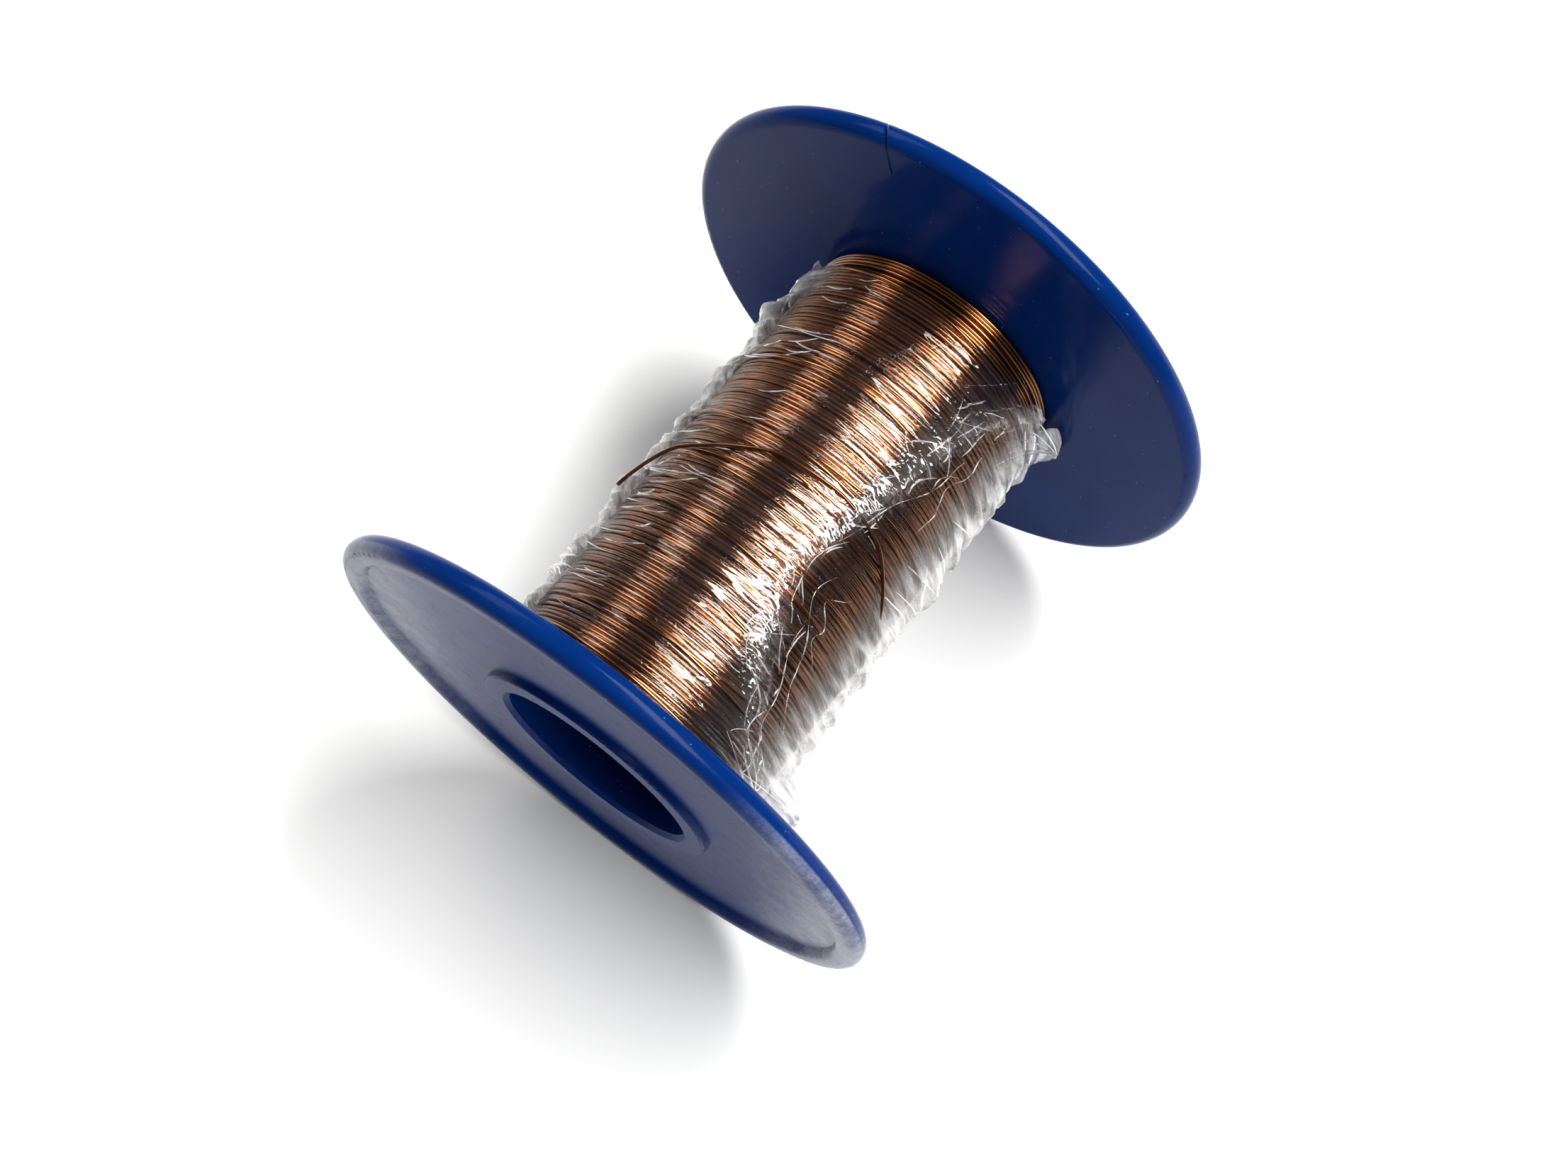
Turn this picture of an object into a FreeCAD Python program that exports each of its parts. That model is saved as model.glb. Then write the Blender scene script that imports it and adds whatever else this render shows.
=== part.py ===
"""Wire spool: two moulded flanges pressed into a barrel tube, a shallow winding of
enamelled copper wire with one loose turn, and a stretch film wrapped over it.

Row frame, millimetres: origin on the spool's axis at half its length, +Y along the axis
from the near flange to the far flange, +Z up. The axis is level.
"""

import FreeCAD, Part  # noqa: E401
import os

import Sketcher
from FreeCAD import Placement, Rotation, Vector

os.makedirs("parts", exist_ok=True)
doc = FreeCAD.newDocument("wire_spool")

# ---------------------------------------------------------------- driving dimensions
DIMENSIONS = [
    ("flange_dia", 66.0, "outside diameter of both flanges"),
    ("overall_length", 62.7, "from lip face to lip face"),
    ("rim_thickness", 2.6, "thickness of a flange at its rim"),
    ("rim_outer_round", 1.2, "round on the rim's outer edge"),
    ("rim_inner_round", 1.3, "round on the rim's inner edge"),
    ("recess_depth", 0.85, "depth of the recessed web below the lip face"),
    ("recess_dia", 60.8, "diameter of the recess at the lip face"),
    ("recess_draft", 0.5, "radius lost from the lip face to the web"),
    ("boss_dia", 28.4, "outside diameter of the hub boss at the web"),
    ("boss_draft", 0.15, "radius lost from the web to the boss face"),
    ("boss_drop", 0.15, "how far the boss face lies below the lip face"),
    ("boss_round", 0.3, "round on the boss edge"),
    ("lip_chamfer", 0.3, "chamfer on the lip's inner edge"),
    ("bore_dia", 22.5, "spindle bore"),
    ("bore_chamfer", 0.5, "chamfer at the mouth of the bore"),
    ("sleeve_dia", 24.8, "outside of the flange's sleeve, which is the inside of the barrel"),
    ("sleeve_length", 8.0, "how far the sleeve reaches into the barrel"),
    ("sleeve_lead", 0.4, "lead-in chamfer at the sleeve's end"),
    ("barrel_dia", 26.4, "outside of the barrel tube"),
    ("winding_dia", 30.2, "outside of the wound wire"),
    ("winding_edge", 0.4, "chamfer where the winding meets a flange"),
    ("wire_dia", 0.49, "enamelled wire"),
    ("turn_sweep", 150.0, "degrees of the loose turn that stand on the winding"),
    ("turn_offset", 0.02, "gap between the loose turn and the winding"),
    ("turn_place", 1.0, "place of the loose turn along the axis"),
    ("film_dia", 31.8, "outside of the stretch film"),
    ("film_thickness", 0.25, "all the wraps of the stretch film together"),
    ("film_margin", 0.4, "gap from each flange to the film's edge"),
    ("slit_width", 0.14, "wire slit in the far flange"),
    ("slit_depth", 4.7, "radial depth of the wire slit"),
    ("slit_angle", 15.0, "degrees from the flange's top to the slit, on its inner face"),
    ("slit_lean", 29.0, "degrees between the slit and the axis, seen from above"),
    ("nick_width", 0.45, "width of the lead-in nick at the slit's mouth"),
    ("nick_depth", 0.5, "radial depth of the nick"),
    ("cut_overrun", 1.0, "how far the slit's outline runs past the rim"),
]
sheet = doc.addObject("Spreadsheet::Sheet", "dims")
for row, (alias, value, meaning) in enumerate(DIMENSIONS, start=1):
    sheet.set(f"A{row}", alias)
    sheet.set(f"B{row}", str(value))
    sheet.set(f"C{row}", meaning)
    sheet.setAlias(f"B{row}", alias)
doc.recompute()


def dim(alias):
    """A driving dimension as a number, for choosing edges and first sketch positions."""
    return float(sheet.get(alias))


def origin_item(body, role):
    """One of a body's own origin planes or axes."""
    return next(item for item in body.Origin.OriginFeatures if item.Role == role)


def new_body(label):
    body = doc.addObject("PartDesign::Body", label)
    body.Label = label
    return body


def new_sketch(body, name, role):
    sketch = body.newObject("Sketcher::SketchObject", name)
    sketch.AttachmentSupport = [(origin_item(body, role), "")]
    sketch.MapMode = "FlatFace"
    return sketch


def bind(sketch, constraint, name, expression):
    """Names a sketch constraint and ties it to the sheet."""
    sketch.renameConstraint(constraint, name)
    sketch.setExpression(f".Constraints.{name}", expression)


def closed_outline(sketch, corners):
    """Straight-sided outline. A corner is (name, x, x expression, y, y expression);
    a y expression of None puts the corner on the sketch's x axis."""
    from_x = [(c[1], c[3]) for c in corners]
    for i, (x, y) in enumerate(from_x):
        x_next, y_next = from_x[(i + 1) % len(from_x)]
        sketch.addGeometry(Part.LineSegment(Vector(x, y, 0), Vector(x_next, y_next, 0)), False)
    count = len(corners)
    for i in range(count):
        sketch.addConstraint(Sketcher.Constraint("Coincident", i, 2, (i + 1) % count, 1))
    for i, (name, x, x_rule, y, y_rule) in enumerate(corners):
        across = sketch.addConstraint(Sketcher.Constraint("DistanceX", -1, 1, i, 1, x))
        bind(sketch, across, f"{name}_x", x_rule)
        if y_rule is None:
            sketch.addConstraint(Sketcher.Constraint("PointOnObject", i, 1, -1))
        else:
            along = sketch.addConstraint(Sketcher.Constraint("DistanceY", -1, 1, i, 1, y))
            bind(sketch, along, f"{name}_y", y_rule)


def ring_sketch(body, name, inner_rule, outer_rule, inner, outer):
    """Two circles about the Y axis, both with their diameters tied to the sheet."""
    sketch = new_sketch(body, name, "XZ_Plane")
    for index, (radius, rule, word) in enumerate(
        ((outer, outer_rule, "outside"), (inner, inner_rule, "inside"))
    ):
        sketch.addGeometry(Part.Circle(Vector(0, 0, 0), Vector(0, 0, 1), radius), False)
        sketch.addConstraint(Sketcher.Constraint("Coincident", index, 3, -1, 1))
        width = sketch.addConstraint(Sketcher.Constraint("Diameter", index, 2 * radius))
        bind(sketch, width, f"{word}_dia", rule)
    return sketch


def tube(label, inner_alias, outer_alias, length_rule, length, inner_rule=None):
    """A plain tube about the Y axis, centred on the origin."""
    body = new_body(label)
    sketch = ring_sketch(
        body,
        f"{label}_ring",
        inner_rule or f"<<dims>>.{inner_alias}",
        f"<<dims>>.{outer_alias}",
        dim(inner_alias) / 2,
        dim(outer_alias) / 2,
    )
    pad = body.newObject("PartDesign::Pad", f"{label}_pad")
    pad.Profile = sketch
    pad.Midplane = True
    pad.Length = length
    pad.setExpression("Length", length_rule)
    doc.recompute()
    return body, pad


def circles(shape, radius, place, tolerance=0.02):
    """Names of the full circular edges of this radius at this place along Y."""
    found = []
    for number, edge in enumerate(shape.Edges, start=1):
        curve = edge.Curve
        if not isinstance(curve, Part.Circle):
            continue
        if abs(curve.Radius - radius) < tolerance and abs(curve.Center.y - place) < tolerance:
            found.append(f"Edge{number}")
    if not found:
        raise RuntimeError(f"no circle of radius {radius} at {place}")
    return found


def dress(body, base, kind, name, edges, alias):
    """A Fillet or Chamfer on some edges of a feature, sized by the sheet."""
    feature = body.newObject(f"PartDesign::{kind}", name)
    feature.Base = (base, edges)
    size = "Radius" if kind == "Fillet" else "Size"
    setattr(feature, size, dim(alias))
    feature.setExpression(size, f"<<dims>>.{alias}")
    doc.recompute()
    return feature


# ---------------------------------------------------------------------- moulded flange
def flange(label):
    """One flange in its own frame: lip face at y = 0, sleeve towards +y."""
    body = new_body(label)
    sketch = new_sketch(body, f"{label}_profile", "XY_Plane")
    d = "<<dims>>."
    rim, web = dim("flange_dia") / 2, dim("recess_depth")
    thick, lip = dim("rim_thickness"), dim("recess_dia") / 2
    boss, drop = dim("boss_dia") / 2, dim("boss_drop")
    bore, sleeve = dim("bore_dia") / 2, dim("sleeve_dia") / 2
    closed_outline(
        sketch,
        [
            ("bore_mouth", bore, f"{d}bore_dia / 2", drop, f"{d}boss_drop"),
            (
                "boss_face",
                boss - dim("boss_draft"),
                f"{d}boss_dia / 2 - {d}boss_draft",
                drop,
                f"{d}boss_drop",
            ),
            ("boss_foot", boss, f"{d}boss_dia / 2", web, f"{d}recess_depth"),
            (
                "recess_foot",
                lip - dim("recess_draft"),
                f"{d}recess_dia / 2 - {d}recess_draft",
                web,
                f"{d}recess_depth",
            ),
            ("recess_lip", lip, f"{d}recess_dia / 2", 0, None),
            ("rim_outer", rim, f"{d}flange_dia / 2", 0, None),
            ("rim_inner", rim, f"{d}flange_dia / 2", thick, f"{d}rim_thickness"),
            ("sleeve_root", sleeve, f"{d}sleeve_dia / 2", thick, f"{d}rim_thickness"),
            (
                "sleeve_end",
                sleeve,
                f"{d}sleeve_dia / 2",
                thick + dim("sleeve_length"),
                f"{d}rim_thickness + {d}sleeve_length",
            ),
            (
                "bore_end",
                bore,
                f"{d}bore_dia / 2",
                thick + dim("sleeve_length"),
                f"{d}rim_thickness + {d}sleeve_length",
            ),
        ],
    )
    turned = body.newObject("PartDesign::Revolution", f"{label}_turned")
    turned.Profile = sketch
    turned.ReferenceAxis = (sketch, ["V_Axis"])
    turned.Angle = 360.0
    doc.recompute()
    outer = dress(
        body, turned, "Fillet", f"{label}_rim_outer", circles(turned.Shape, rim, 0), "rim_outer_round"
    )
    inner = dress(
        body, outer, "Fillet", f"{label}_rim_inner", circles(outer.Shape, rim, thick), "rim_inner_round"
    )
    boss_edge = circles(inner.Shape, boss - dim("boss_draft"), drop)
    boss_round = dress(body, inner, "Fillet", f"{label}_boss_round", boss_edge, "boss_round")
    lip_edge = circles(boss_round.Shape, lip, 0)
    edges = dress(body, boss_round, "Chamfer", f"{label}_lip_edge", lip_edge, "lip_chamfer")
    mouth = dress(
        body, edges, "Chamfer", f"{label}_bore_mouth", circles(edges.Shape, bore, drop), "bore_chamfer"
    )
    lead_edge = circles(mouth.Shape, sleeve, thick + dim("sleeve_length"))
    lead = dress(body, mouth, "Chamfer", f"{label}_sleeve_lead", lead_edge, "sleeve_lead")
    body.Tip = lead
    return body, lead


def cut_through(body, base, sketch, name):
    """A pocket right through the flange, both ways from the sketch."""
    pocket = body.newObject("PartDesign::Pocket", name)
    pocket.Profile = sketch
    pocket.Type = "ThroughAll"
    pocket.Midplane = True
    body.Tip = pocket
    doc.recompute()
    if pocket.Shape.Volume > base.Shape.Volume - 0.05:
        raise RuntimeError(f"{name} cut nothing")
    return pocket


SLIT_FRAME = (
    "placement(vector(0; 0; -<<dims>>.rim_thickness); "
    "rotation(vector(0; 0; 1); -<<dims>>.slit_angle) * rotation(vector(0; 1; 0); <<dims>>.slit_lean))"
)


def wire_slit(body, base):
    """A narrow leaning slit for the wire's end, with a V-shaped nick at its mouth. Both
    outlines stand on the slit's own plane, on the flange's inner face, with y outwards."""
    d = "<<dims>>."
    rim, half = dim("flange_dia") / 2, dim("slit_width") / 2
    left, right = (-half, f"-{d}slit_width / 2"), (half, f"{d}slit_width / 2")
    beyond = (rim + dim("cut_overrun"), f"{d}flange_dia / 2 + {d}cut_overrun")
    foot = (rim - dim("slit_depth"), f"{d}flange_dia / 2 - {d}slit_depth")
    slot = new_sketch(body, "slit_outline", "XZ_Plane")
    slot.setExpression("AttachmentOffset", SLIT_FRAME)
    closed_outline(
        slot,
        [
            ("foot_left", *left, *foot),
            ("foot_right", *right, *foot),
            ("mouth_right", *right, *beyond),
            ("mouth_left", *left, *beyond),
        ],
    )
    slit = cut_through(body, base, slot, "slit_cut")

    # The V reaches its stated width at the rim and keeps widening past it.
    depth, width = dim("nick_depth"), dim("nick_width")
    spread = half + (width / 2 - half) * (depth + dim("cut_overrun")) / depth
    rule = (
        f"({d}slit_width + ({d}nick_width - {d}slit_width)"
        f" * ({d}nick_depth + {d}cut_overrun) / {d}nick_depth) / 2"
    )
    point = (rim - depth, f"{d}flange_dia / 2 - {d}nick_depth")
    nick = new_sketch(body, "nick_outline", "XZ_Plane")
    nick.setExpression("AttachmentOffset", SLIT_FRAME)
    closed_outline(
        nick,
        [
            ("point_left", *left, *point),
            ("point_right", *right, *point),
            ("spread_right", spread, rule, *beyond),
            ("spread_left", -spread, f"-{rule}", *beyond),
        ],
    )
    return cut_through(body, slit, nick, "nick_cut")


near_flange, _ = flange("near_flange")
near_flange.setExpression("Placement.Base.y", "-<<dims>>.overall_length / 2")

far_flange, far_turned = flange("far_flange")
wire_slit(far_flange, far_turned)
far_flange.Placement = Placement(Vector(0, 0, 0), Rotation(Vector(0, 0, 1), 180))
far_flange.setExpression("Placement.Base.y", "<<dims>>.overall_length / 2")

# --------------------------------------------------------------- barrel, wire and film
BETWEEN = "(<<dims>>.overall_length - 2 * <<dims>>.rim_thickness)"
between = dim("overall_length") - 2 * dim("rim_thickness")
barrel, _ = tube("barrel", "sleeve_dia", "barrel_dia", BETWEEN, between)

wire_winding, wound = tube("wire_winding", "barrel_dia", "winding_dia", BETWEEN, between)
ends = circles(wound.Shape, dim("winding_dia") / 2, between / 2)
ends += circles(wound.Shape, dim("winding_dia") / 2, -between / 2)
wire_winding.Tip = dress(wire_winding, wound, "Chamfer", "winding_ends", ends, "winding_edge")

film_length = between - 2 * dim("film_margin")
stretch_film, _ = tube(
    "stretch_film",
    "film_dia",
    "film_dia",
    f"{BETWEEN} - 2 * <<dims>>.film_margin",
    film_length,
    inner_rule="<<dims>>.film_dia - 2 * <<dims>>.film_thickness",
)

loose_turn = doc.addObject("Part::Torus", "loose_turn")
loose_turn.Label = "loose_turn"
loose_turn.setExpression(
    "Radius1", "(<<dims>>.winding_dia + <<dims>>.wire_dia) / 2 + <<dims>>.turn_offset"
)
loose_turn.setExpression("Radius2", "<<dims>>.wire_dia / 2")
loose_turn.setExpression("Angle3", "<<dims>>.turn_sweep")
upright = Rotation(Vector(1, 0, 0), 90)
centred = Rotation(Vector(0, 0, 1), 90 - dim("turn_sweep") / 2)
loose_turn.Placement = Placement(Vector(0, 0, 0), upright * centred)
loose_turn.setExpression("Placement.Base.y", "<<dims>>.turn_place")

# --------------------------------------------------------------------- check and write
NODES = [near_flange, far_flange, barrel, wire_winding, loose_turn, stretch_film]
doc.recompute()
for item in doc.Objects:
    if "Invalid" in item.State or "Error" in item.State:
        raise RuntimeError(f"{item.Label} failed: {item.State}")
for node in NODES:
    shape = node.Shape
    if shape.isNull() or not shape.isValid() or len(shape.Solids) != 1:
        raise RuntimeError(f"{node.Label} is not one valid solid")
for node in NODES:
    node.Shape.exportStep(f"parts/{node.Label}.step")
    box = node.Shape.BoundBox
    print(
        f"{node.Label}: {node.Shape.Volume:.1f} mm3, x {box.XMin:.2f} to {box.XMax:.2f}, "
        f"y {box.YMin:.2f} to {box.YMax:.2f}, z {box.ZMin:.2f} to {box.ZMax:.2f}"
    )
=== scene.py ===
"""Looks of the wire spool: glossy blue flanges, fine copper turns and stretch film.

Metres, in the model's own frame: +Y runs along the bore from the near flange to the far
one, +Z is up, and the spool lies on its two rims. An angle round the axis is measured
from +Z towards +X, so the right is +X. The film and the loose turn are worked out in mm and degrees, and
turned into metres and radians where their points are made.
"""

import math

import bpy
import numpy as np
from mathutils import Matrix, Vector


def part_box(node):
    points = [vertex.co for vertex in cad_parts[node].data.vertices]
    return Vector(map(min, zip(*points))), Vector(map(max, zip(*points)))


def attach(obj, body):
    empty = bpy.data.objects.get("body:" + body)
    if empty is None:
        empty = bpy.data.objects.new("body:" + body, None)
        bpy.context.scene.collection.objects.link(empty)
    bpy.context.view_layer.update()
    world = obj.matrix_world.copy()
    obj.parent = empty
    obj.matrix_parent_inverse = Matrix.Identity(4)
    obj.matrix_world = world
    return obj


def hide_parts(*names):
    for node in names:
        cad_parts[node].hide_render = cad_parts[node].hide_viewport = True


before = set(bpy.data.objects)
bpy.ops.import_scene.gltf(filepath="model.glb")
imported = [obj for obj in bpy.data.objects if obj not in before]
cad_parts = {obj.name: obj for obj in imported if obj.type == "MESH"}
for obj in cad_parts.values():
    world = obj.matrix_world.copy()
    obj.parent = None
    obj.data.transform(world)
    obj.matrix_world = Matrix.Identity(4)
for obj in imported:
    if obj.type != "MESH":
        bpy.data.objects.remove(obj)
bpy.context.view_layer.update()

MM = 0.001
NEAR_LOW, NEAR_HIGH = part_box("near_flange")
RIM_RADIUS = NEAR_HIGH.x
# Each flange's end is a sunk web inside a raised lip. Both lie past END_Y, and the lip
# lies past LIP_RADIUS; a material changes over within EDGE of either.
END_Y = -NEAR_LOW.y - 1.25 * MM
LIP_RADIUS = RIM_RADIUS - 2.7 * MM
EDGE = 0.3 * MM
WIND_LOW, WIND_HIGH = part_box("wire_winding")
WIND_RADIUS = WIND_HIGH.x
WIND_RADIUS_MM = WIND_RADIUS / MM
FLOOR_Z = -RIM_RADIUS
WIRE_RADIUS = 0.245 * MM
WIRE_PITCH = 0.487 * MM


# ------------------------------------------------------------------------------ helpers
def on_axis(radius, angle, y):
    """Points at a radius and angle round the axis; any of the three may be an array."""
    return np.stack(np.broadcast_arrays(radius * np.sin(angle), y, radius * np.cos(angle)), axis=-1)


def grid_faces(rows, columns, wrap_columns=False):
    """Quads of a grid of points, numbered row by row."""
    c = np.arange(columns if wrap_columns else columns - 1)
    r, c = np.meshgrid(np.arange(rows - 1), c, indexing="ij")
    r1, c1 = r + 1, (c + 1) % columns
    corners = [r * columns + c, r1 * columns + c, r1 * columns + c1, r * columns + c1]
    return np.stack(corners, axis=-1).reshape(-1, 4)


def joined(parts):
    """One list of points and one of faces, from several pairs of points and faces."""
    all_points, all_faces, base = [], [], 0
    for points, faces in parts:
        all_points.append(points)
        all_faces.append(faces + base)
        base += len(points)
    return np.concatenate(all_points), np.concatenate(all_faces)


def path_directions(centre):
    """Unit vectors at each point of a path: along it, and straight out from the axis."""
    along = np.gradient(centre, axis=0)
    along /= np.linalg.norm(along, axis=1)[:, None]
    outward = centre * [1, 0, 1]
    outward /= np.linalg.norm(outward, axis=1)[:, None]
    return along, outward


def add_mesh(name, points, faces, material):
    """A smooth-shaded mesh piece on the root body."""
    mesh = bpy.data.meshes.new(name)
    mesh.from_pydata(points.reshape(-1, 3).tolist(), [], faces.tolist())
    mesh.validate()
    mesh.shade_smooth()
    mesh.materials.append(material)
    piece = bpy.data.objects.new(name, mesh)
    bpy.context.scene.collection.objects.link(piece)
    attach(piece, "root")
    return piece


def wave_noise(rng, count, lowest, highest):
    """A smooth random function of one variable: a sum of sines that spreads by about 0.8."""
    speeds = rng.uniform(lowest, highest, count)
    phases = rng.uniform(0, math.tau, count)
    scale = 1.6 / math.sqrt(2 * count)

    def value(x):
        waves = np.sin(np.multiply.outer(np.asarray(x), speeds) + phases)
        return scale * waves.sum(-1)

    return value


def smoothstep(low, high, x):
    """0 up to low, 1 past high, and smooth between them; high may be the lower number."""
    t = np.clip((x - low) / (high - low), 0, 1)
    return t * t * (3 - 2 * t)


# ---------------------------------------------------------------------------- materials
class Nodes:
    """A material's node tree, with short calls for the nodes used here."""

    def __init__(self, name):
        self.material = bpy.data.materials.new(name)
        self.material.use_nodes = True
        self.tree = self.material.node_tree
        self.shader = self.tree.nodes["Principled BSDF"]

    def add(self, kind, **settings):
        """A new node of one kind, with its settings."""
        node = self.tree.nodes.new(kind)
        for key, value in settings.items():
            setattr(node, key, value)
        return node

    def link(self, out, into):
        """Joins one node's output to another's input."""
        self.tree.links.new(out, into)

    def place(self, stretch=(1, 1, 1)):
        """Object coordinates, scaled along each axis."""
        mapping = self.add("ShaderNodeMapping")
        mapping.inputs["Scale"].default_value = stretch
        self.link(self.add("ShaderNodeTexCoord").outputs["Object"], mapping.inputs["Vector"])
        return mapping.outputs["Vector"]

    def noise(self, place, scale, detail=3.0, rough=0.55):
        """Random noise from 0 to 1; scale is its number of blobs to the metre."""
        node = self.add("ShaderNodeTexNoise")
        node.inputs["Scale"].default_value = scale
        node.inputs["Detail"].default_value = detail
        node.inputs["Roughness"].default_value = rough
        self.link(place, node.inputs["Vector"])
        return node.outputs["Fac"]

    def span(self, value, low, high, to_low=0.0, to_high=1.0):
        """to_low up to low, to_high past high, and smooth between them."""
        node = self.add("ShaderNodeMapRange", interpolation_type="SMOOTHSTEP")
        self.link(value, node.inputs["Value"])
        numbers = {"From Min": low, "From Max": high, "To Min": to_low, "To Max": to_high}
        for key, number in numbers.items():
            node.inputs[key].default_value = number
        return node.outputs["Result"]

    def maths(self, kind, a, b=None):
        """One step of arithmetic on one or two values, each a number or a socket."""
        node = self.add("ShaderNodeMath", operation=kind)
        for socket, value in zip(node.inputs, (a, b)):
            if isinstance(value, (int, float)):
                socket.default_value = value
            elif value is not None:
                self.link(value, socket)
        return node.outputs[0]

    def mix(self, share, a, b):
        """Colour a where share is 0 and b where it is 1; each a colour or a socket."""
        node = self.add("ShaderNodeMix", data_type="RGBA")
        self.link(share, node.inputs[0])
        for socket, value in ((node.inputs[6], a), (node.inputs[7], b)):
            if isinstance(value, tuple):
                socket.default_value = (*value, 1.0)
            else:
                self.link(value, socket)
        return node.outputs[2]

    def bump(self, height, strength, depth, normal=None):
        """A normal tilted by a height, where a height of 1 is depth metres."""
        node = self.add("ShaderNodeBump")
        node.inputs["Strength"].default_value = strength
        node.inputs["Distance"].default_value = depth
        self.link(height, node.inputs["Height"])
        if normal is not None:
            self.link(normal, node.inputs["Normal"])
        return node.outputs["Normal"]


def end_dust_and_sheen(m, place, axes, end):
    """Dust and a painted pale sheen on the end faces: thick to the left and right, thin on the far one.
    """
    across = m.maths("POWER", axes.outputs["X"], 2.0)
    up = m.maths("POWER", axes.outputs["Z"], 2.0)
    radius = m.maths("SQRT", m.maths("ADD", across, up))
    web_or_lip = m.span(radius, LIP_RADIUS, LIP_RADIUS + EDGE, 0.8, 0.7)
    side = m.span(m.maths("ABSOLUTE", axes.outputs["X"]), 17 * MM, 31 * MM)
    near_or_far = m.span(axes.outputs["Y"], -1 * MM, 1 * MM, 1.0, 0.12)
    cloud = m.span(m.noise(place, 200, detail=7.0, rough=0.8), 0.32, 0.68, 0.25, 1.0)
    grain = m.span(m.noise(place, 3800, detail=2.0), 0.3, 0.7, 0.7, 1.0)
    thickest = 0.85
    dust_and_sheen = end
    for share in (web_or_lip, side, grain, cloud, thickest, near_or_far):
        dust_and_sheen = m.maths("MULTIPLY", dust_and_sheen, share)
    return dust_and_sheen


def blue_plastic():
    """Glossy moulded plastic, navy in the mass, with faint mottling and a few specks. The
    end faces are duller than the rest, with dust and a painted pale sheen."""
    m = Nodes("blue_plastic")
    place = m.place()
    mottle = m.span(m.noise(place, 120), 0.35, 0.65)
    colour = m.mix(mottle, (0.0008, 0.019, 0.125), (0.0012, 0.023, 0.142))
    speck = m.span(m.noise(place, 2100, detail=1.0), 0.77, 0.82)
    colour = m.mix(speck, colour, (0.12, 0.15, 0.22))
    axes = m.add("ShaderNodeSeparateXYZ")
    m.link(place, axes.inputs["Vector"])
    end = m.span(m.maths("ABSOLUTE", axes.outputs["Y"]), END_Y, END_Y + EDGE)
    # Dust and painted sheen: a pale colour over the end faces that stands in for the lit floor they
    # reflect.
    colour = m.mix(end_dust_and_sheen(m, place, axes, end), colour, (0.62, 0.65, 0.7))
    m.link(colour, m.shader.inputs["Base Color"])
    m.shader.inputs["IOR"].default_value = 1.145
    scuff = m.span(m.noise(place, 420, detail=6.0, rough=0.7), 0.45, 0.75, 0.12, 0.17)
    m.link(m.maths("ADD", scuff, m.maths("MULTIPLY", end, 0.12)), m.shader.inputs["Roughness"])
    fine = m.bump(m.noise(place, 2600, detail=2.0), 0.1, 0.04 * MM)
    m.link(fine, m.shader.inputs["Normal"])
    return m.material


def copper_enamel():
    """Copper under clear enamel; each stretch of wire is a little lighter or browner, and all of
    it is painted darker and browner down the sides, as painted shade."""
    m = Nodes("copper_enamel")
    along = m.place((0.15, 1, 0.15))
    tone = m.span(m.noise(along, 900, detail=2.0), 0.3, 0.7)
    colour = m.mix(tone, (0.3, 0.122, 0.042), (0.56, 0.24, 0.088))
    height = m.add("ShaderNodeSeparateXYZ")
    m.link(m.place(), height.inputs["Vector"])
    # Painted shade: the copper is darkened below about 14 mm up, where its sides face the dim room.
    flank = m.span(height.outputs["Z"], 9.4 * MM, 14.0 * MM, 0.74, 0.0)
    colour = m.mix(flank, colour, (0.07, 0.03, 0.014))
    m.link(colour, m.shader.inputs["Base Color"])
    m.shader.inputs["Metallic"].default_value = 1.0
    m.link(m.span(m.noise(m.place(), 700), 0.3, 0.7, 0.12, 0.22), m.shader.inputs["Roughness"])
    m.shader.inputs["Coat Weight"].default_value = 0.3
    m.shader.inputs["Coat Roughness"].default_value = 0.08
    return m.material


def dark_copper_enamel():
    """The loose turn, which is browner and duller than the wound wire."""
    m = Nodes("dark_copper_enamel")
    tone = m.span(m.noise(m.place(), 500, detail=2.0), 0.3, 0.7)
    m.link(m.mix(tone, (0.15, 0.06, 0.025), (0.22, 0.09, 0.035)), m.shader.inputs["Base Color"])
    m.shader.inputs["Metallic"].default_value = 0.9
    m.shader.inputs["Roughness"].default_value = 0.22
    return m.material


def film_reflectance(m, sheets, normal):
    """The share of light that some sheets of film return. With r from each face, n sheets
    return 2nr / (1 + (2n - 1)r). It is capped, so that no fold turns into a mirror."""
    gloss = m.add("ShaderNodeFresnel")
    gloss.inputs["IOR"].default_value = 1.5
    m.link(normal, gloss.inputs["Normal"])
    one_face = gloss.outputs["Fac"]
    faces = m.maths("MULTIPLY", sheets, 2.0)
    top = m.maths("MULTIPLY", one_face, faces)
    bottom = m.maths("ADD", m.maths("MULTIPLY", one_face, m.maths("SUBTRACT", faces, 1.0)), 1.0)
    most = 0.42
    return m.maths("MINIMUM", m.maths("DIVIDE", top, bottom), most)


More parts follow.
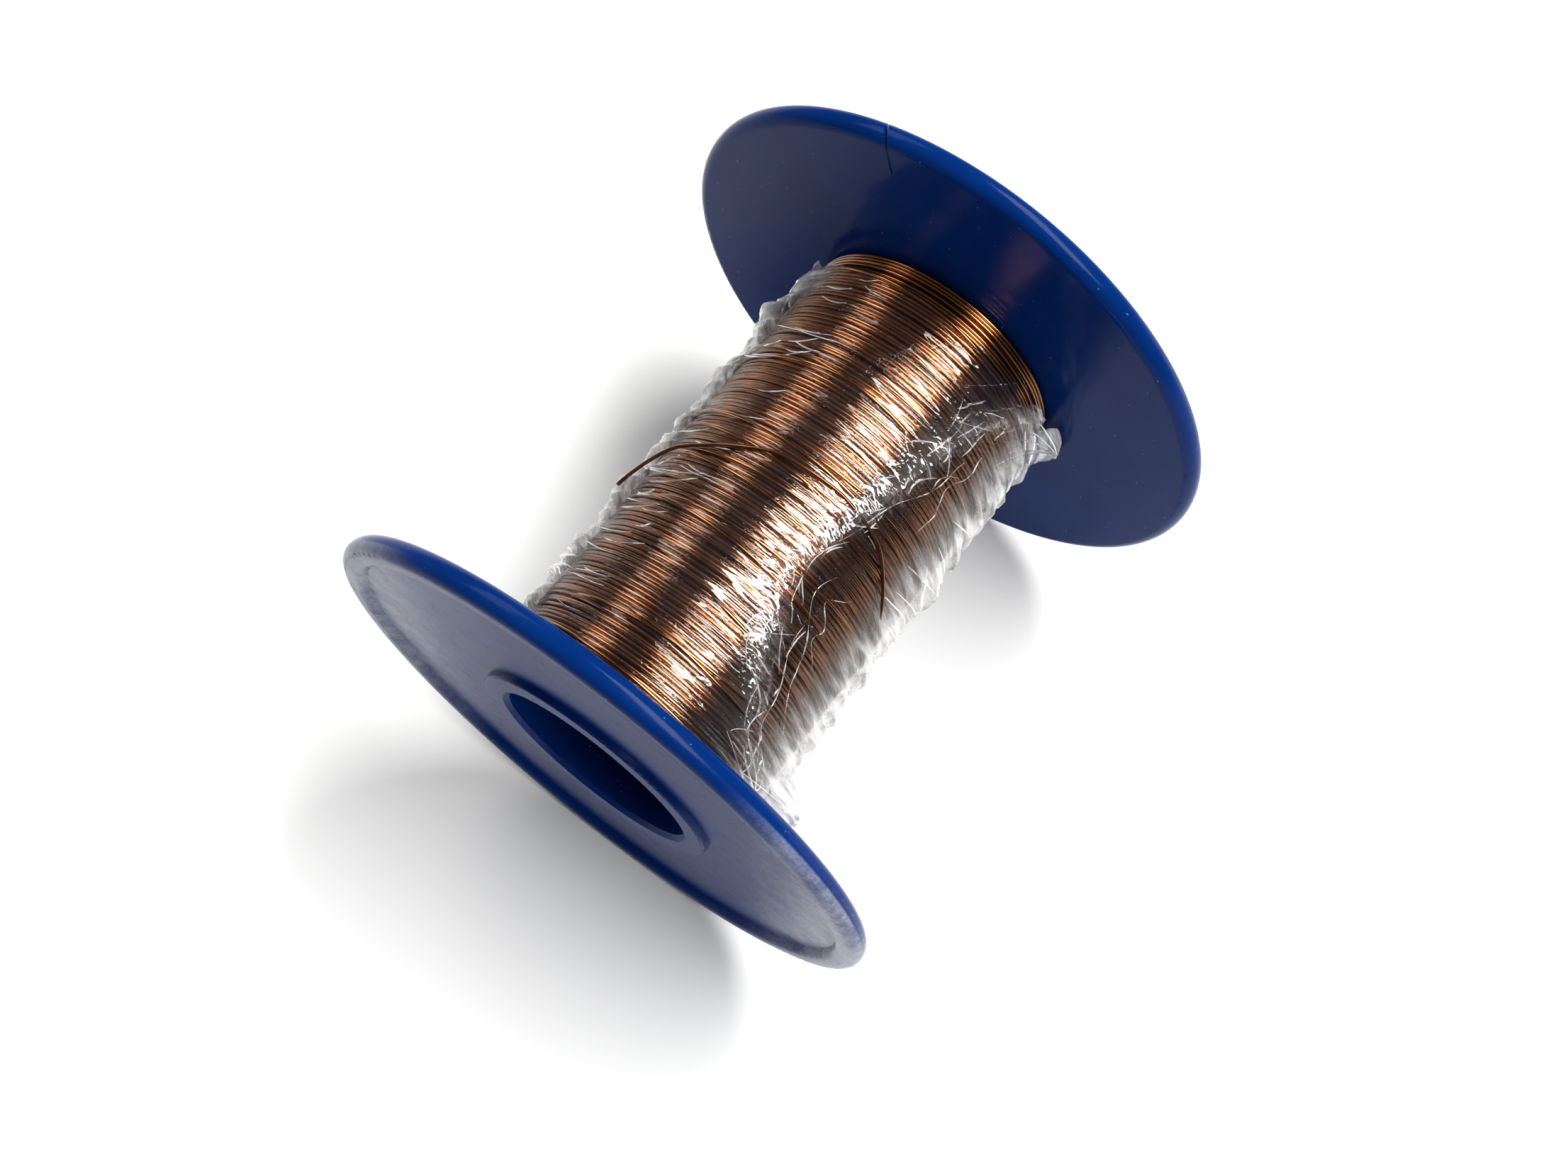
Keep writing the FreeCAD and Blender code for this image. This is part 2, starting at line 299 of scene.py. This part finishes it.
def stretch_film_plastic(name, sheets=None, milk_and_sheen=None):
    """Clear film: see-through face on, glossy at a glance, milky where crumpled, and painted
    white down its sides as a painted sheen. Unless they are given, the number of sheets and
    the share of milk and painted sheen come from the mesh.
    Where the film hugs the wire it has its turns' shape, and glints in fine lines."""
    m = Nodes(name)

    def attribute(key):
        return m.add("ShaderNodeAttribute", attribute_name=key).outputs["Fac"]

    if sheets is None:
        sheets = attribute("sheets")
    if milk_and_sheen is None:
        milk_and_sheen = attribute("milk_and_sheen")
    along_axis = m.add("ShaderNodeSeparateXYZ")
    m.link(m.place(), along_axis.inputs["Vector"])
    phase = m.maths("MULTIPLY", along_axis.outputs["Y"], math.tau / WIRE_PITCH)
    turns = m.maths("MULTIPLY", m.maths("SINE", phase), attribute("hug"))
    on_wire = m.bump(turns, 1.0, 0.06 * MM)
    round_axis = m.place((0.15, 1, 0.15))
    fine = m.bump(m.noise(round_axis, 1300, detail=1.0), 0.3, 0.05 * MM, on_wire)
    mirror = film_reflectance(m, sheets, fine)
    streak = m.span(m.noise(round_axis, 1100, detail=4.0), 0.36, 0.66, 0.3, 1.0)
    # Milk where the film is crumpled, and a painted white sheen where the mesh marks the film's sides.
    cloud = m.maths("MULTIPLY", streak, milk_and_sheen)
    seen = m.maths("ADD", mirror, cloud)
    m.link(m.maths("MINIMUM", seen, 1.0), m.shader.inputs["Alpha"])
    m.link(m.maths("DIVIDE", mirror, seen), m.shader.inputs["Metallic"])
    m.shader.inputs["Base Color"].default_value = (0.98, 0.98, 0.97, 1.0)
    m.shader.inputs["Roughness"].default_value = 0.06
    m.link(fine, m.shader.inputs["Normal"])
    return m.material


BLUE = blue_plastic()
COPPER = copper_enamel()
DARK_COPPER = dark_copper_enamel()
FILM = stretch_film_plastic("stretch_film")
FILM_FOLD = stretch_film_plastic("folded_film", sheets=1.2, milk_and_sheen=0.38)


# --------------------------------------------------------------------- camera and stage
# The camera's place and what it looks at, in metres; its lens, in mm on a 36 mm frame; and
# the lamps' distance from the spool's middle, in metres.
CAMERA_PLACE = (0.04747, -0.06248, 0.18032)
CAMERA_TARGET = (0.00374, -0.00384, 0.0)
LENS_MM = 42.43
LAMP_DISTANCE = 1.2


def aim(thing, place, at):
    """Puts a camera or a light at a place, facing a point."""
    thing.location = place
    thing.rotation_euler = (Vector(at) - Vector(place)).to_track_quat("-Z", "Y").to_euler()


def add_camera():
    """The one camera, high over the spool, past its near end and to the right."""
    lens = bpy.data.cameras.new("camera")
    lens.sensor_width = 36.0
    lens.lens = LENS_MM
    lens.clip_start = 0.01
    camera = bpy.data.objects.new("camera", lens)
    bpy.context.scene.collection.objects.link(camera)
    aim(camera, CAMERA_PLACE, CAMERA_TARGET)
    bpy.context.scene.camera = camera


def add_soft_light(name, direction, size, power, colour=(1, 1, 1)):
    """A rectangular light that faces the spool; its power is in watts."""
    light = bpy.data.lights.new(name, "AREA")
    light.shape = "RECTANGLE"
    light.size, light.size_y = size
    light.energy = power
    light.color = colour
    lamp = bpy.data.objects.new(name, light)
    bpy.context.scene.collection.objects.link(lamp)
    aim(lamp, Vector(direction).normalized() * LAMP_DISTANCE, (0, 0, 0))


def add_floor():
    """A plain floor, with a painted pool of light: white round the spool and greyer further off."""
    half = 2.0
    corners = np.array([[-half, -half, 0], [half, -half, 0], [half, half, 0], [-half, half, 0]])
    mesh = bpy.data.meshes.new("floor")
    mesh.from_pydata((corners + [0, 0, FLOOR_Z]).tolist(), [], [(0, 1, 2, 3)])
    m = Nodes("pale_floor")
    middle = m.add("ShaderNodeVectorMath", operation="LENGTH")
    m.link(m.place(), middle.inputs[0])
    # Painted pool of light: the floor's colour fades from white to grey away from the spool.
    away = m.span(middle.outputs["Value"], 0.16, 0.6)
    m.link(m.mix(away, (0.95, 0.95, 0.94), (0.55, 0.55, 0.55)), m.shader.inputs["Base Color"])
    m.shader.inputs["Roughness"].default_value = 0.75
    m.shader.inputs["Specular IOR Level"].default_value = 0.1
    mesh.materials.append(m.material)
    floor = bpy.data.objects.new("floor", mesh)
    bpy.context.scene.collection.objects.link(floor)


def add_light():
    """A dim room, a wide light over the spool, and a weaker one on its left."""
    world = bpy.data.worlds.new("room")
    world.use_nodes = True
    nodes, links = world.node_tree.nodes, world.node_tree.links
    sky = nodes["Background"]
    sky.inputs["Color"].default_value = (0.94, 0.96, 1.0, 1.0)
    # Pale walls near the horizon, and a dim ceiling.
    height = nodes.new("ShaderNodeSeparateXYZ")
    links.new(nodes.new("ShaderNodeTexCoord").outputs["Generated"], height.inputs["Vector"])
    walls = nodes.new("ShaderNodeMapRange")
    for key, number in {"From Min": 0.02, "From Max": 0.3, "To Min": 0.3, "To Max": 0.11}.items():
        walls.inputs[key].default_value = number
    links.new(height.outputs["Z"], walls.inputs["Value"])
    links.new(walls.outputs["Result"], sky.inputs["Strength"])
    bpy.context.scene.world = world
    bpy.context.scene.view_settings.view_transform = "Standard"
    add_soft_light("key_light", (0.38, 0.3, 1.0), (1.4, 0.4), 28.0)
    add_soft_light("left_light", (-1.0, 0.35, 0.95), (0.8, 0.4), 3.8, (1.0, 0.97, 0.93))


add_camera()
add_floor()
add_light()


# ------------------------------------------------------------------- moulded CAD pieces
def smooth_shading(node):
    """Joins the CAD faces' edges, so that a round meets its flat with no shading step."""
    weld = node.modifiers.new("weld", "WELD")
    weld.merge_threshold = 0.002 * MM
    split = node.modifiers.new("split", "EDGE_SPLIT")
    split.split_angle = math.radians(35)
    normals = node.modifiers.new("normals", "WEIGHTED_NORMAL")
    normals.mode = "FACE_AREA_WITH_ANGLE"
    normals.weight = 80
    normals.keep_sharp = False


for name in ("near_flange", "far_flange", "barrel"):
    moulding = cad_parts[name]
    for material_slot in moulding.material_slots:
        material_slot.material = BLUE
    smooth_shading(moulding)


# ----------------------------------------------------------------------- the wound wire
def wire_tube(path_angle, path_y, path_radius, thickness, around=8):
    """Points and faces of a closed-ended round wire whose centre follows the given path."""
    centre = on_axis(path_radius, path_angle, path_y)
    along, outward = path_directions(centre)
    side = np.cross(along, outward)
    side /= np.linalg.norm(side, axis=1)[:, None]
    up = np.cross(side, along)
    turn = (np.arange(around) * math.tau / around)[None, :, None]
    ring = up[:, None, :] * np.cos(turn) + side[:, None, :] * np.sin(turn)
    rows = np.r_[0, np.arange(len(centre)), len(centre) - 1]
    # The first and last rings shrink almost to a point, which closes the wire's ends.
    size = np.full(len(rows), thickness)
    size[[0, -1]] *= 0.05
    points = (centre[rows, None, :] + size[:, None, None] * ring[rows]).reshape(-1, 3)
    return points, grid_faces(len(rows), around, wrap_columns=True)


def add_turns():
    """The outer layer as one helix, whose turns wander a little and touch."""
    rng = np.random.default_rng(7)
    low, high = WIND_LOW.y + WIRE_RADIUS, WIND_HIGH.y - WIRE_RADIUS
    turns = int((high - low) / WIRE_PITCH)
    steps_per_turn = 72
    t = np.arange(turns * steps_per_turn + 1) / steps_per_turn
    # Each turn drifts along the axis with those beside it, leans a little, and stands a
    # little proud or low, with a new height every half turn.
    drift = wave_noise(rng, 10, 0.5, 6.0)(t) * 0.10 * MM
    lean = np.interp(t, np.arange(turns + 2), rng.normal(0, 0.035 * MM, turns + 2))
    knots = 2 * turns + 4
    lift = np.interp(t * 2, np.arange(knots), rng.normal(0, 0.022 * MM, knots))
    y = np.clip(low + (high - low) * t / turns + drift + lean, low, high)
    radius = WIND_RADIUS - WIRE_RADIUS + lift
    # Half a turn on, so that both ends of the helix are underneath.
    angle = t * math.tau + math.pi
    points, faces = wire_tube(angle, y, radius, WIRE_RADIUS)
    turns_piece = add_mesh("wire_turns", points, faces, COPPER)
    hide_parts("wire_winding")


def add_layer_below():
    """The layer under the outer one, as a ridged surface seen only between its turns."""
    rows_per_turn = 6
    length = WIND_HIGH.y - WIND_LOW.y
    turns = int(length / WIRE_PITCH)
    rows = turns * rows_per_turn + 1
    y = np.linspace(WIND_LOW.y, WIND_HIGH.y, rows)
    ridge = np.abs(np.sin(np.linspace(0, turns * math.pi, rows)))
    radius = WIND_RADIUS + (0.7 * ridge - 3.2) * WIRE_RADIUS
    steps = 96
    angle = np.arange(steps) * math.tau / steps
    points = on_axis(radius[:, None], angle[None, :], y[:, None])
    faces = grid_faces(rows, steps, wrap_columns=True)
    add_mesh("wire_layer_below", points, faces, COPPER)


def add_crossing_turns():
    """Stretches of wire that ride over their neighbours and dive back between them."""
    rng = np.random.default_rng(23)
    strands = []
    for _ in range(15):
        middle = math.radians(rng.uniform(-60, 70))
        half = math.radians(rng.uniform(35, 95))
        u = np.linspace(-1, 1, 80)
        y_middle = rng.uniform(WIND_LOW.y * 0.9, WIND_HIGH.y * 0.9)
        y = y_middle + rng.choice([-1, 1]) * rng.uniform(0.5, 1.3) * MM * u
        ride = WIND_RADIUS + (0.35 - 3.6 * np.abs(u) ** 8) * WIRE_RADIUS
        strands.append(wire_tube(middle + half * u, y, ride, WIRE_RADIUS))
    add_mesh("wire_crossings", *joined(strands), COPPER)


# The loose turn: angle round the axis in degrees, place along it in mm, and height of the
# wire's middle over the winding in mm.
LOOSE_ANGLE = (-63.5, -57, -49, -34, -6, 23, 47, 66, 80)
LOOSE_Y = (-7.3, -4.9, -1.8, -0.2, 2.5, 3.0, 2.1, -1.3, -4.5)
LOOSE_HEIGHT = (1.8, 1.6, 1.1, 0.4, 0.25, 0.25, 0.3, 0.6, 0.4)


def smooth_path(knots, values, at):
    """A curve through a few values, smoothed so that it has no corner at a knot."""
    fine = np.linspace(knots[0], knots[-1], 400)
    curve = np.interp(fine, knots, values)
    width = 45
    kernel = np.hanning(width)
    padded = np.pad(curve, width // 2, mode="reflect", reflect_type="odd")
    return np.interp(at, fine, np.convolve(padded, kernel / kernel.sum(), mode="valid"))


def add_loose_turn():
    """The wire's dark last turn, which stands off the winding at its left end."""
    degrees = np.linspace(LOOSE_ANGLE[0], LOOSE_ANGLE[-1], 220)
    y = smooth_path(LOOSE_ANGLE, LOOSE_Y, degrees) * MM
    radius = WIND_RADIUS + smooth_path(LOOSE_ANGLE, LOOSE_HEIGHT, degrees) * MM
    points, faces = wire_tube(np.radians(degrees), y, radius, 0.85 * WIRE_RADIUS, around=12)
    piece = add_mesh("loose_wire", points, faces, DARK_COPPER)
    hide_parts("loose_turn")


# ------------------------------------------------------------------------- stretch film
# How many times round the film goes; its outer end laps over its start. Its flat size, in
# metres, is the width that it covers and that many turns at its mean radius.
FILM_WRAP = 1.14
# The film's outer end is the crumpled seam: place along the axis in mm, and angle.
SEAM_Y = (-26, -20, -14, -6, 4, 14, 20, 26)
SEAM_ANGLE = (74, 52, 38, 25, 35, 43, 50, 72)
# Where the film stands well off the wire: place and angle, their widths, and height in mm.
FILM_TIPS = (
    (28.4, 99, 2.0, 16, 1.9),
    (-23.0, 98, 2.6, 17, 3.6),
    (5.2, 99, 1.6, 16, 0.9),
    (-13.5, 99, 3.0, 18, 0.2),
    (19.6, -71, 1.6, 18, 1.1),
    (-6.5, -66, 2.4, 14, 0.5),
)
# The long creases: middle and length in mm, degrees past the seam, and degrees of drift.
LONG_CREASES = ((-16, 13, 7, 9), (-11, 15, 15, -4), (7, 17, 6, 10), (12, 12, 16, -6), (-8, 8, 21, 5))
# One mm round the film, as an angle.
DEGREES_PER_MM = 3.75


def ripple(rng, count, y_lengths, angle_lengths):
    """A smooth random field over place along the axis (mm) and angle (degrees), which
    spreads by about 1."""
    speed_y = math.tau / rng.uniform(*y_lengths, count) * rng.choice([-1, 1], count)
    speed_angle = math.tau / rng.uniform(*angle_lengths, count)
    phase = rng.uniform(0, math.tau, count)

    def value(y, degrees):
        total = np.zeros(np.broadcast(y, degrees).shape)
        for along, around, shift in zip(speed_y, speed_angle, phase):
            total += np.sin(along * y + around * degrees + shift)
        return total * math.sqrt(2 / count)

    return value


def wrapped(degrees):
    """The same angle, from -180 to 180 degrees."""
    return (degrees + 180) % 360 - 180


def hill(y, degrees, y_middle, angle_middle, y_width, angle_width):
    """A rounded bump centred on a place and an angle."""
    off = wrapped(degrees - angle_middle)
    return np.exp(-(((y - y_middle) / y_width) ** 2) - (off / angle_width) ** 2)


def seam_angle(y):
    """Where the crumpled seam lies round the axis, at a place along it."""
    return smooth_path(SEAM_Y, SEAM_ANGLE, y)


def away_from_top(degrees, right, left):
    """0 over the top of the winding and 1 past an angle on either side of it. Right and
    left are each the angles where the rise starts and ends."""
    off = wrapped(degrees)
    return np.where(off > 8, smoothstep(*right, off), smoothstep(*left, off))


class FilmShape:
    """The film's height over the wire, in mm, as random folds of several sizes."""

    def __init__(self):
        rng = np.random.default_rng(41)
        self.lobes = ripple(rng, 18, (1.8, 9.0), (50, 170))
        self.wrinkles = ripple(rng, 30, (0.8, 2.6), (36, 120))
        self.creases = ripple(rng, 22, (0.9, 2.8), (40, 130))
        self.crumple = ripple(rng, 34, (0.7, 2.2), (4, 12))

    def seam_share(self, y, degrees):
        """1 along the seam and 0 away from it."""
        off = wrapped(degrees - seam_angle(y))
        return np.exp(-((off / np.where(off < 0, 8.0, 4.5)) ** 2))

    def radius(self, y, degrees, outer):
        """The film's radius, and how far it stands off the wire or the sheet below it.
        outer runs from 0 at the film's start to 1 at its outer end."""
        loose = away_from_top(degrees, (40, 88), (-32, -74))
        lap = smoothstep(0.55, 1, outer)
        radius = WIND_RADIUS_MM + 0.06 + 0.12 * lap + 0.9 * loose
        radius = radius + (0.03 + 0.12 * loose) * self.lobes(y, degrees)
        radius = radius + (0.068 + 0.1 * loose) * self.wrinkles(y, degrees)
        fold = np.clip(0.3 - np.abs(self.creases(y, degrees)), 0, 1)
        radius = radius + (0.3 + 0.25 * loose) * fold
        for y_tip, angle_tip, y_width, angle_width, height in FILM_TIPS:
            radius = radius + height * hill(y, degrees, y_tip, angle_tip, y_width, angle_width)
        share = self.seam_share(y, degrees)
        radius = radius + share * (0.1 + 0.26 * np.abs(self.crumple(y, degrees)))
        floor = WIND_RADIUS_MM + 0.03 + 0.05 * lap
        # A soft maximum, which keeps the film off the wire with no sharp line.
        sharpness = 24
        return floor + np.logaddexp(0, (radius - floor) * sharpness) / sharpness, radius - floor


def film_ends(degrees):
    """Where the film's two edges lie along the axis, in mm, at an angle. Over the top they
    draw back, and the far one is pulled out into a tip on the right."""
    top = smoothstep(75, 30, np.abs(wrapped(degrees) - 8))
    tip = np.exp(-(((wrapped(degrees) - 97) / 14) ** 2))
    return -27.8 + 1.4 * top, 26.6 - 1.6 * top + 1.9 * tip


def add_attribute(piece, name, values):
    """A number for each point of a piece's mesh, for its material to read."""
    values = np.ascontiguousarray(values, dtype=np.float32).ravel()
    attribute = piece.data.attributes.new(name, "FLOAT", "POINT")
    attribute.data.foreach_set("value", values)


def set_film_looks(film, shape, y, degrees, outer, gap):
    """What the film's material reads: how it hugs the wire, its sheets, and its milkiness with a painted
    white sheen down the sides.
    """
    add_attribute(film, "hug", smoothstep(0.14, 0.03, gap))
    seam = shape.seam_share(y, degrees)
    flank = away_from_top(degrees, (42, 54), (-28, -44))
    lap = smoothstep(0.88, 0.97, outer)
    add_attribute(film, "sheets", 0.38 - 0.26 * flank + 0.9 * lap + 0.4 * seam)
    # Painted sheen: the sides are painted milky white, less so underneath, in place of a glancing
    # reflection; the seam and flaps are milky.
    side = away_from_top(degrees, (54, 90), (-52, -76))
    side = side * (1 - 0.72 * smoothstep(94, 120, np.abs(wrapped(degrees))))
    flap = hill(y, degrees, -23, 96, 3.5, 22) + hill(y, degrees, 25, -62, 3.0, 16)
    add_attribute(film, "milk_and_sheen", 0.003 + 0.78 * side**1.3 + 0.05 * seam + 0.3 * flap)


def add_film(shape):
    """The film as one sheet, from its start under the seam, once round, to the seam."""
    rng = np.random.default_rng(52)
    columns, rows = 340, 236
    outer = np.linspace(0, 1, rows)[:, None]
    across = np.linspace(0, 1, columns)[None, :]
    seam_y = SEAM_Y[0] + (SEAM_Y[-1] - SEAM_Y[0]) * across
    degrees = seam_angle(seam_y) - (1 - outer) * 360 * FILM_WRAP
    near, far = film_ends(degrees)
    ragged = wave_noise(rng, 12, 0.05, 0.6)
    near = near + 0.3 * ragged(degrees[:, 0])[:, None]
    far = far + 0.4 * ragged(degrees[:, 0] + 500)[:, None]
    y = near + (far - near) * across
    radius, gap = shape.radius(y, degrees, outer)
    points = on_axis(radius * MM, np.radians(degrees), y * MM)
    film = add_mesh("film_wrap", points, grid_faces(rows, columns), FILM)
    set_film_looks(film, shape, y, degrees, outer, gap)
    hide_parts("stretch_film")
    return film


def fold_ridge(shape, y, degrees, height, width):
    """A narrow pinched fold of film along a path: a tent on the film's outer surface,
    which it follows over a running mean, so that it bridges the smallest wrinkles."""
    steps = len(y)
    taper = np.sin(np.linspace(0.04, math.pi - 0.04, steps)) ** 0.6
    base = shape.radius(y, degrees, 1.0)[0]
    mean_of = min(15, steps // 2)
    padded = np.pad(base, mean_of, mode="edge")
    mean = np.convolve(padded, np.ones(mean_of) / mean_of, mode="same")
    base = mean[mean_of:-mean_of] + 0.05
    centre = on_axis(base * MM, np.radians(degrees), y * MM)
    along, outward = path_directions(centre)
    side = np.cross(along, outward)
    half = (width * MM * taper)[:, None] / 2
    foot = 0.04 * MM * outward
    top = (height * MM * taper)[:, None] * outward
    rows = [centre - side * half - foot, centre + top, centre + side * half - foot]
    return np.stack(rows, axis=1).reshape(-1, 3), grid_faces(steps, 3)


# Each function below gives paths of folds: place along the axis in mm, angle in degrees,
# and the fold's height and width in mm.
def seam_tangle(rng):
    """Short folds at all slants, close to the seam."""
    paths = []
    for _ in range(90):
        y0 = rng.uniform(-26.5, 25.5)
        length, slant = rng.uniform(0.8, 4.5), rng.normal(0, 0.9)
        u = np.linspace(-0.5, 0.5, 14)
        bend = rng.normal(0, 0.5)
        y = np.clip(y0 + length * math.cos(slant) * u, -27, 26)
        off = rng.normal(-1.5, 5.0) + DEGREES_PER_MM * length * (math.sin(slant) * u + bend * u**2)
        paths.append((y, seam_angle(y) + off, rng.uniform(0.04, 0.2), rng.uniform(0.06, 0.2)))
    return paths


def long_creases(rng):
    """Broken creases that run along the axis, on the far side of the seam."""
    paths = []
    for y0, length, off, drift in LONG_CREASES:
        u = np.linspace(-0.5, 0.5, 80)
        y = y0 + length * u
        wander = 2.2 * wave_noise(rng, 6, 3, 16)(u)
        broken = np.clip(0.5 + wave_noise(rng, 8, 12, 50)(u), 0.08, 1.1)
        degrees = seam_angle(y) + off + drift * u + wander
        paths.append((y, degrees, 0.13 * broken, 0.11 * broken))
    return paths


def left_tuft(rng):
    """A tuft on the left, towards the near flange."""
    paths = []
    for _ in range(12):
        u = np.linspace(0, 1, 18)
        y = -17.5 + rng.normal(0, 0.7) + rng.normal(-0.6, 0.9) * u**2
        start = rng.uniform(-80, -66)
        paths.append((y, start + rng.uniform(8, 24) * u, 0.35, 0.09))
    return paths


def left_streaks(rng):
    """Short streaks round the axis, high on the left."""
    paths = []
    for _ in range(40):
        y0, middle = rng.uniform(-25, 25), rng.normal(-38, 9)
        half = rng.uniform(3, 12)
        u = np.linspace(-1, 1, 16)
        y = y0 + rng.normal(0.2, 0.35) * u + 0.25 * u**2
        paths.append((y, middle + half * u, rng.uniform(0.05, 0.16), rng.uniform(0.08, 0.2)))
    return paths


def right_folds(rng):
    """Folds that run round the loose film low on the right."""
    paths = []
    for _ in range(26):
        y0, middle = rng.uniform(-26, 26), rng.uniform(70, 98)
        half = rng.uniform(6, 18)
        u = np.linspace(-1, 1, 22)
        y = np.clip(y0 + rng.normal(0.4, 0.7) * u, -27, 27)
        paths.append((y, middle + half * u, rng.uniform(0.06, 0.22), rng.uniform(0.08, 0.22)))
    return paths


def tip_fan(rng):
    """The fan of folds gathered into the tip by the far flange."""
    paths = []
    for start in (18.5, 20.5, 22.3, 24.0, 25.5):
        u = np.linspace(0, 1, 30)
        y = start + (27.6 - start) * u**0.8
        paths.append((y, 68 + 30 * u + rng.normal(0, 1), 0.3, 0.22))
    return paths


def add_folds(shape, film):
    """All the pinched folds as one piece."""
    rng = np.random.default_rng(77)
    paths = []
    for kind in (seam_tangle, long_creases, left_tuft, left_streaks, right_folds, tip_fan):
        paths += kind(rng)
    ridges = [fold_ridge(shape, *path) for path in paths]
    piece = add_mesh("film_folds", *joined(ridges), FILM_FOLD)


add_turns()
add_layer_below()
add_crossing_turns()
add_loose_turn()
film_shape = FilmShape()
add_folds(film_shape, add_film(film_shape))
